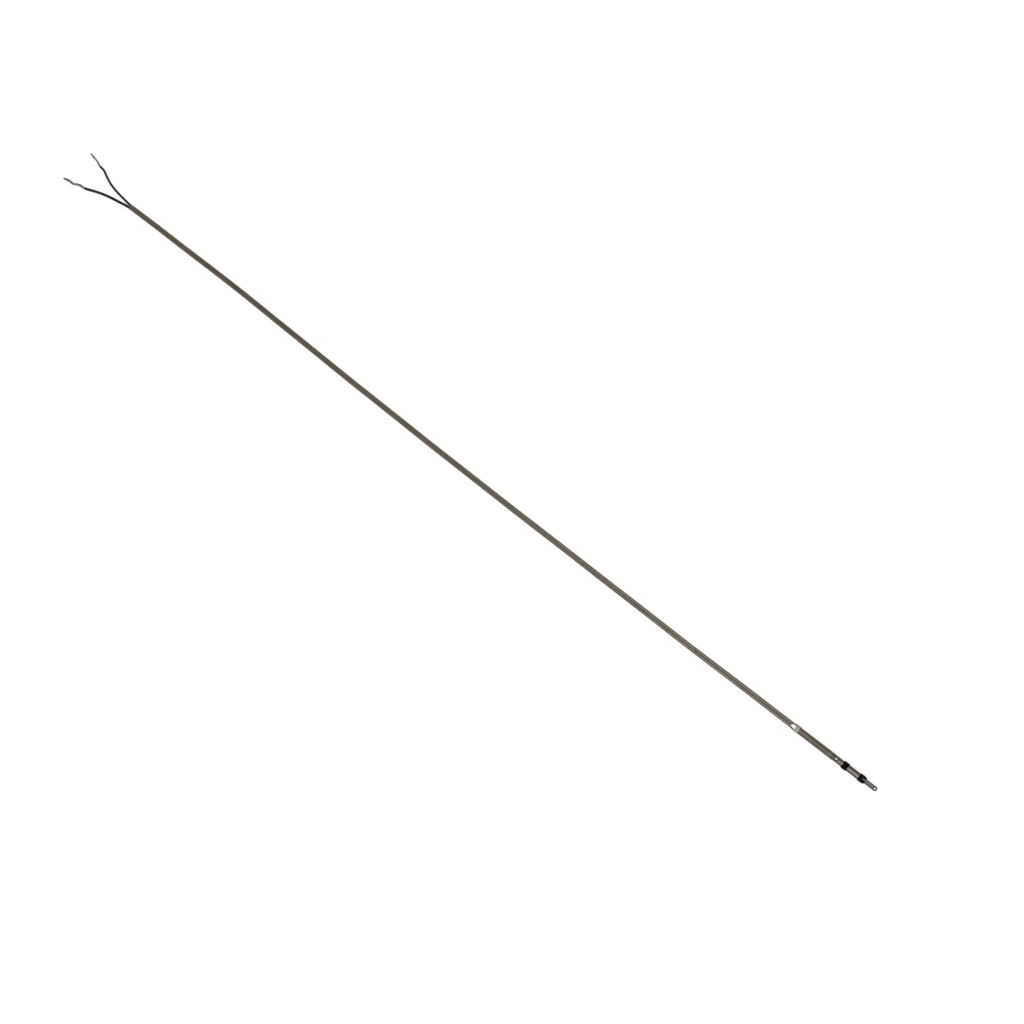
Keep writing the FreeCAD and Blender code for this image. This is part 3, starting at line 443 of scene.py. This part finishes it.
# each finish has its dark and its light tone, then how rough it is, and how metallic if it is a metal
materials = {
    "jacket": drawnPlastic("taupeJacket", (61, 54, 43), (80, 71, 57), 0.3),
    "leg": drawnPlastic("legSkin", (38, 34, 28), (56, 50, 41), 0.4),
    "coreA": drawnPlastic("blackCore", (12, 9, 6), (22, 17, 11), 0.5, gloss=0.25),
    "coreB": drawnPlastic("brownBlackCore", (10, 6, 3), (38, 22, 12), 0.5, gloss=0.2),
    "strands": satinMetal("tinnedStrands", (84, 83, 79), (124, 123, 118), 0.42, 0.5, evenHair),
    "block": porousBlock("blockMoulding", (132, 123, 113), (102, 94, 86), (125, 117, 108)),
    "sleeve": smokySleeve("smokySleeve", (60, 51, 37), (86, 74, 56)),
    "coil": woundWire("woundWire", (96, 87, 76), (132, 121, 106)),
    "ceramic": firedCeramic("firedCeramic", (40, 35, 30), (58, 52, 45)),
    "nickel": satinMetal("nickelWire", (48, 44, 40), (84, 78, 72), 0.45, 0.6, wireHair),
    "crimp": satinMetal("crimpBrass", (150, 128, 84), (186, 164, 112), 0.35, 0.9),
    "coupling": drawnPlastic("couplingMoulding", (51, 44, 36), (68, 59, 48), 0.34),
    "tube": satinMetal("drawnTube", (55, 47, 39), (80, 71, 60), 0.3, 0.45),
    "rubber": mouldedRubber("blackRubber", (5, 3, 3), (12, 9, 8), 0.6, gloss=0.04),
    "seal": mouldedRubber("sealRubber", (8, 7, 7), (20, 18, 17), 0.5),
    "phenolic": drawnPlastic("phenolicMoulding", (34, 26, 21), (48, 38, 31), 0.5),
    "brass": satinMetal("stampedBrass", (160, 134, 82), (196, 170, 112), 0.32, 0.9),
    "bimetal": satinMetal("bimetalStrip", (140, 130, 116), (178, 168, 152), 0.3, 0.9),
    "silver": satinMetal("contactSilver", (180, 180, 176), (214, 214, 210), 0.28, 0.95),
    # painted shade darkens the tongue's long edges, with its half width given as 1.4 mm
    "tongue": satinMetal("tongueGrey", (88, 83, 77), (120, 114, 107), 0.4, 0.35, paintedShadeHalfWidth=1.4 * mm),
    "rivet": satinMetal("brightRivet", (188, 188, 188), (226, 226, 226), 0.22, 0.9, evenHair),
    "eyelet": satinMetal("rolledEyelet", (44, 42, 40), (84, 81, 78), 0.34, 0.8, evenHair),
}
print("materials made")

# every route holds (distance behind the block, sideways, height) in mm
leadSettings = {
    "blockBack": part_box("terminal_block")[0][0],  # where the distances behind the block start
    "lobe": 1.55 * mm,
    "lobeApart": 1.3 * mm,
    "waist": 1.2 * mm,
    "archDeep": 2.8 * mm,  # how far the round arch is cut into the end at the block
    "archFade": 2.0 * mm,  # and how soon its pull on the skin dies away
    "uneven": 0.012,  # share by which the width wanders
    "wander": 40,  # about how often it does so in a metre
    "endShrink": 0.06,  # share by which a cut end draws in
    "endLength": 0.3 * mm,
    "step": 2.0 * mm,
    "sides": 40,
    "route": [
        (1.9, 0.0, 3.55), (18.0, 0.0, 3.55), (40.0, 0.5, 2.5), (70.0, 0.8, 1.55), (113.0, 0.45, 1.55),
        (160.0, 0.95, 1.55), (213.0, 1.1, 1.55), (262.0, 1.6, 1.55), (317.0, 1.65, 1.55),
        (370.0, 2.35, 1.55), (424.0, 2.8, 1.55), (478.0, 4.0, 1.55), (531.0, 4.8, 1.55),
        (585.0, 6.35, 1.55), (634.0, 7.5, 1.55), (683.0, 8.95, 1.55), (729.0, 9.3, 1.55),
        (772.0, 9.15, 1.55), (806.0, 9.5, 1.55), (831.0, 9.35, 1.55), (849.4, 9.24, 1.55),
    ],
}


def routePoints(route):
    back = leadSettings["blockBack"]
    return [Vector((back - behind * mm, side * mm, height * mm)) for behind, side, height in route]


# two round lobes side by side with a shallow waist between them, as (side, up) points
def flatSection(settings):
    lobe, apart, waist = settings["lobe"], settings["lobeApart"], settings["waist"]
    half = settings["sides"] // 2
    opening = math.asin(waist / lobe)
    points = []
    for sign in (1, -1):
        for j in range(half):
            angle = -math.pi + opening + (math.tau - 2 * opening) * j / (half - 1)
            points.append((sign * (apart + lobe * math.cos(angle)), sign * (lobe * math.sin(angle))))
    return points


def leadSheath(settings):
    line = evenSteps(splineLine(routePoints(settings["route"])), settings["step"])
    total = lineLength(line)
    outline = flatSection(settings)
    halfWide = settings["lobe"] + settings["lobeApart"]

    def section(distance):
        swell = 1 + settings["uneven"] * noise.noise(Vector((distance * settings["wander"], 0, 0)))
        fromEnd = min(distance, total - distance)
        shrink = 1 - settings["endShrink"] * math.exp(-fromEnd / settings["endLength"])
        return [(a * swell * shrink, b * shrink) for a, b in outline]

    def arch(distance, across):
        rounded = math.sqrt(max(0, 1 - (across / halfWide) ** 2))
        return settings["archDeep"] * rounded * math.exp(-distance / settings["archFade"])

    piece = sweepTube("leadSheath", line, section, shiftAt=arch)
    finishPiece(piece, "heater", "lead_skin", materials["jacket"], "lead_cable")
    return piece, line, total


legSettings = {
    "fat": 0.85 * mm,  # radius where a leg leaves the lead's lobe
    "slim": 0.72 * mm,  # radius at the block
    "taperRate": 1.6,  # it is slim this much sooner than its whole length
    "taperShape": 0.7,
    "step": 0.25 * mm,
    "sides": 20,
    "route": [(6.5, 1.6, 3.55), (4.2, 1.95, 3.55), (2.2, 2.4, 3.55), (0.9, 2.62, 3.55), (-0.1, 2.65, 3.55)],
}


# a slim moulded leg that carries one cold lead from the lead's lobe to the block
def archLeg(name, sign, settings):
    places = routePoints([(behind, sign * side, height) for behind, side, height in settings["route"]])
    line = evenSteps(splineLine(places), settings["step"])
    total = lineLength(line)

    def section(distance):
        slimness = min(1, distance / total * settings["taperRate"]) ** settings["taperShape"]
        radius = settings["fat"] + (settings["slim"] - settings["fat"]) * slimness
        return circleSection(radius, settings["sides"])

    leg = sweepTube(f"archLeg_{name}", line, section)
    finishPiece(leg, "heater", "lead_skin", materials["leg"])


strandSettings = {
    "count": 8,  # one in the middle and the rest round it
    "radius": 0.38 * mm,
    "sides": 8,
    "bundleRadius": {"a": 0.6 * mm, "b": 0.8 * mm},
    "fullTwist": 11.0 * mm,
    "hiddenSteps": 12,  # the strands start this many steps inside the core
    "tableGap": 0.05 * mm,  # and rest this far above the table
    "lumpEvery": 13.0 * mm,  # the bundle swells and draws in again this often
    "slack": 0.9,  # its share of the bundle's radius where it is drawn in
    "lump": {"a": 0.1, "b": 0.5},  # and how much more of it where it swells
    "pointed": 0.8,  # share by which it draws together at the cut end
    "pointLength": 1.6 * mm,
    "loose": 0.35,  # share by which single strands stray near the cut end
    "strayTurn": 1.7,  # radians from strand to strand
    "strayWave": 620,  # radians in a metre
    "cutUneven": 0.05,  # share of the length by which strands are cut short
    "cutTurn": 2.3,  # makes the cuts differ from strand to strand
    "cutSeed": 900,  # and from bundle to bundle
    "cutRadius": 0.6,  # share of a strand's radius at its cut end
}


# thin tinned strands twisted together; phase makes the two bundles differ
def strandBundle(name, settings, line, step, phase):
    verts, faces = [], []
    rows = framesOn(line)
    total = lineLength(line)
    hidden = settings["hiddenSteps"] * step
    outer = settings["count"] - 1
    for strand in range(settings["count"]):
        start = math.tau * strand / outer
        unevenness = math.sin(strand * settings["cutTurn"] + phase * settings["cutSeed"])
        rings = int(len(rows) * (1 - settings["cutUneven"] * abs(unevenness)))
        first = len(verts)
        walked = 0.0
        for i, (here, along, side, up) in enumerate(rows[:rings]):
            if i:
                walked += (here - rows[i - 1][0]).length
            stray = math.sin(strand * settings["strayTurn"] + walked * settings["strayWave"])
            loose = 1 + settings["loose"] * (walked / total) * stray
            turns = math.pi * max(0, walked - hidden) / settings["lumpEvery"]  # no swelling inside the core
            lump = settings["slack"] + settings["lump"][name] * math.sin(turns) ** 2
            point = 1 - settings["pointed"] * math.exp((walked - total) / settings["pointLength"])
            reach = settings["bundleRadius"][name] * loose * lump * point if strand else 0
            angle = start + math.tau * walked / settings["fullTwist"]
            middle = here + side * reach * math.cos(angle) + up * reach * math.sin(angle)
            radius = settings["radius"] * (settings["cutRadius"] if i == rings - 1 else 1)
            for j in range(settings["sides"]):
                turn = math.tau * j / settings["sides"]
                corner = middle + side * radius * math.cos(turn) + up * radius * math.sin(turn)
                corner.z = max(corner.z, settings["tableGap"])
                verts.append(corner)
        last = len(verts) - settings["sides"]
        faces += ringWalls(first, rings, settings["sides"])
        faces.append(tuple(first + j for j in reversed(range(settings["sides"]))))
        faces.append(tuple(last + j for j in range(settings["sides"])))
    return addMesh(f"tinnedStrands_{name}", verts, faces)


tailSettings = {
    "coreRadius": {"a": 1.2 * mm, "b": 1.4 * mm},
    "uneven": 0.02,  # share by which the radius wanders
    "wander": 120,  # about how often it does so in a metre
    "endShrink": 0.14,  # share by which the cut end draws in
    "endLength": 0.35 * mm,
    "endDish": 0.4 * mm,
    "step": 0.4 * mm,
    "sides": 24,
    "strippedPoints": {"a": 5, "b": 6},  # points of the route beyond the insulation
    "routes": {
        "a": [
            (844.6, 10.62, 1.55), (852.8, 10.66, 1.55), (861.0, 11.75, 1.4), (869.5, 12.65, 1.3),
            (879.0, 14.1, 1.25), (889.0, 16.6, 1.25), (899.5, 20.8, 1.25), (906.5, 24.1, 1.25),
            (913.4, 24.7, 1.25), (916.5, 25.6, 1.15), (920.5, 27.6, 1.05), (924.5, 28.2, 1.05),
            (928.5, 29.0, 1.0), (935.2, 30.6, 1.0),
        ],
        "b": [
            (844.6, 8.02, 1.55), (852.8, 7.86, 1.55), (861.0, 6.15, 1.5), (869.5, 4.95, 1.45),
            (879.0, 3.1, 1.45), (888.0, 0.55, 1.45), (896.0, -2.6, 1.45), (903.5, -5.6, 1.45),
            (908.0, -5.7, 1.4), (912.5, -6.4, 1.3), (916.5, -9.4, 1.2), (922.0, -9.0, 1.2),
            (926.5, -9.7, 1.15), (931.4, -11.0, 1.1),
        ],
    },
}


def coreTail(name, settings):
    points = routePoints(settings["routes"][name])
    whole = evenSteps(splineLine(points), settings["step"])
    end = points[-settings["strippedPoints"][name] - 1]
    stop = min(range(len(whole)), key=lambda i: (whole[i] - end).length)
    line = whole[: stop + 1]
    total = lineLength(line)

    def section(distance):
        wandering = noise.noise(Vector((distance * settings["wander"], 3, 0)))  # another row than the lead's
        radius = settings["coreRadius"][name] * (1 + settings["uneven"] * wandering)
        radius *= 1 - settings["endShrink"] * math.exp(-(total - distance) / settings["endLength"])
        return circleSection(radius, settings["sides"])

    core = sweepTube(f"coreTail_{name}", line, section, dish=settings["endDish"])
    finishPiece(core, "heater", "core_black", materials["core" + name.upper()], f"core_insulation_{name}")
    bare = whole[stop - strandSettings["hiddenSteps"]:]
    strands = strandBundle(name, strandSettings, bare, settings["step"], total)
    finishPiece(strands, "heater", "tinned_strands", materials["strands"], f"strands_{name}")
    return core, strands, line, total


lead, leadLine, leadLength = leadSheath(leadSettings)
archLeg("a", 1, legSettings)
archLeg("b", -1, legSettings)
for tailName in tailSettings["routes"]:
    core, strands, coreLine, coreLength = coreTail(tailName, tailSettings)
print("lead laid, %.3f m" % leadLength)

softSettings = {
    "rubberRing": {
        "node": "spacer_ring", "body": "ring", "slot": "boot_rubber", "finish": "rubber",
        "voxel": 0.14 * mm, "rounds": 6,
    },
    "rubberBoot": {
        "node": "end_boot", "body": "heater", "slot": "boot_rubber", "finish": "rubber",
        "voxel": 0.12 * mm, "rounds": 5,
    },
    "pressedTongue": {
        "node": "hanging_tongue", "body": "heater", "slot": "tongue_grey", "finish": "tongue",
        "voxel": 0.12 * mm, "rounds": 5,
    },
}


# the same shape as a CAD node, with its edges softened as a mould leaves them
def softCopy(name, node, voxel, rounds, factor=0.5):
    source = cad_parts[node]
    piece = bpy.data.objects.new(name, source.data.copy())
    bpy.context.collection.objects.link(piece)
    piece.data.materials.clear()
    remesh = piece.modifiers.new("remesh", "REMESH")
    remesh.mode = "VOXEL"
    remesh.voxel_size = voxel
    smooth = piece.modifiers.new("smooth", "CORRECTIVE_SMOOTH")
    smooth.factor = factor
    smooth.iterations = rounds
    smooth.use_only_smooth = True
    view = bpy.context.view_layer
    view.update()
    mesh = bpy.data.meshes.new_from_object(piece.evaluated_get(view.depsgraph))
    piece.modifiers.clear()
    piece.data = mesh
    mesh.polygons.foreach_set("use_smooth", [True] * len(mesh.polygons))
    return piece


for softName, soft in softSettings.items():
    softPiece = softCopy(softName, soft["node"], soft["voxel"], soft["rounds"])
    finishPiece(softPiece, soft["body"], soft["slot"], materials[soft["finish"]], soft["node"])
print("soft pieces made")

carriedFinishes = {
    "lead_crimps": "crimp", "cold_lead_a": "nickel", "cold_lead_b": "nickel", "terminal_block": "block",
    "block_seal": "seal", "element_sleeve": "sleeve", "element_core": "ceramic", "heating_coil": "coil",
    "return_splice": "crimp", "return_wire": "nickel", "feed_wire": "nickel", "coupling": "coupling",
    "sleeve_seal": "seal", "tube_seal": "seal", "cutout_tube": "tube", "cutout_base": "phenolic",
    "blade_terminal": "brass", "bimetal_blade": "bimetal", "moving_contact": "silver",
    "fixed_contact": "silver", "end_plug": "phenolic", "tongue_pin": "nickel", "boot_rivet": "rivet",
    "eyelet": "eyelet",
}
for node, finishName in carriedFinishes.items():
    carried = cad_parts[node].data
    carried.materials.clear()
    carried.materials.append(materials[finishName])
print("finishes applied")

stageSettings = {
    "tableSize": 8.0,
    "tableColour": (0.4, 0.4, 0.4),
    "tableRoughness": 0.9,
    "tableGlow": 0.6,  # a lit table top, so that hardly any shadow shows
    "cloudScale": 3.0,
    "cloudShade": 0.985,  # how bright the table's duller patches are
    "worldStrength": 0.45,
    "lamps": {
        "key": {"place": (0.05, -1.25, 1.2), "size": 0.9, "power": 28.0},
        "fill": {"place": (-0.5, -0.1, 2.2), "size": 1.4, "power": 24.0},
    },
}


def makeTable(settings):
    half = settings["tableSize"] / 2
    corners = [(-half, -half, 0), (half, -half, 0), (half, half, 0), (-half, half, 0)]
    table = addMesh("table", corners, [(0, 1, 2, 3)], smooth=False)
    n = Nodes("paleTable")
    cloud = n.grain(n.place(), settings["cloudScale"], detail=2.0)
    shade = tuple(v * settings["cloudShade"] for v in settings["tableColour"])
    colour = n.mixColour(cloud, settings["tableColour"], shade)
    glow = {"Emission Color": (1, 1, 1, 1), "Emission Strength": settings["tableGlow"]}
    table.data.materials.append(n.finish(colour, settings["tableRoughness"], **glow))


def makeLamp(name, settings, lookAt):
    data = bpy.data.lights.new(name, "AREA")
    data.size = settings["size"]
    data.energy = settings["power"]
    lamp = bpy.data.objects.new(name, data)
    lamp.location = settings["place"]
    away = Vector(settings["place"]) - Vector(lookAt)
    lamp.rotation_euler = away.to_track_quat("Z", "Y").to_euler()
    bpy.context.collection.objects.link(lamp)


def makeWorld(settings):
    world = bpy.data.worlds.new("studio")
    world.use_nodes = True
    background = world.node_tree.nodes["Background"]
    background.inputs["Color"].default_value = (1, 1, 1, 1)
    background.inputs["Strength"].default_value = settings["worldStrength"]
    bpy.context.scene.world = world


makeTable(stageSettings)
makeWorld(stageSettings)
for lampName, lampSettings in stageSettings["lamps"].items():
    makeLamp(lampName, lampSettings, cameraSettings["lookAt"])
print("stage set")
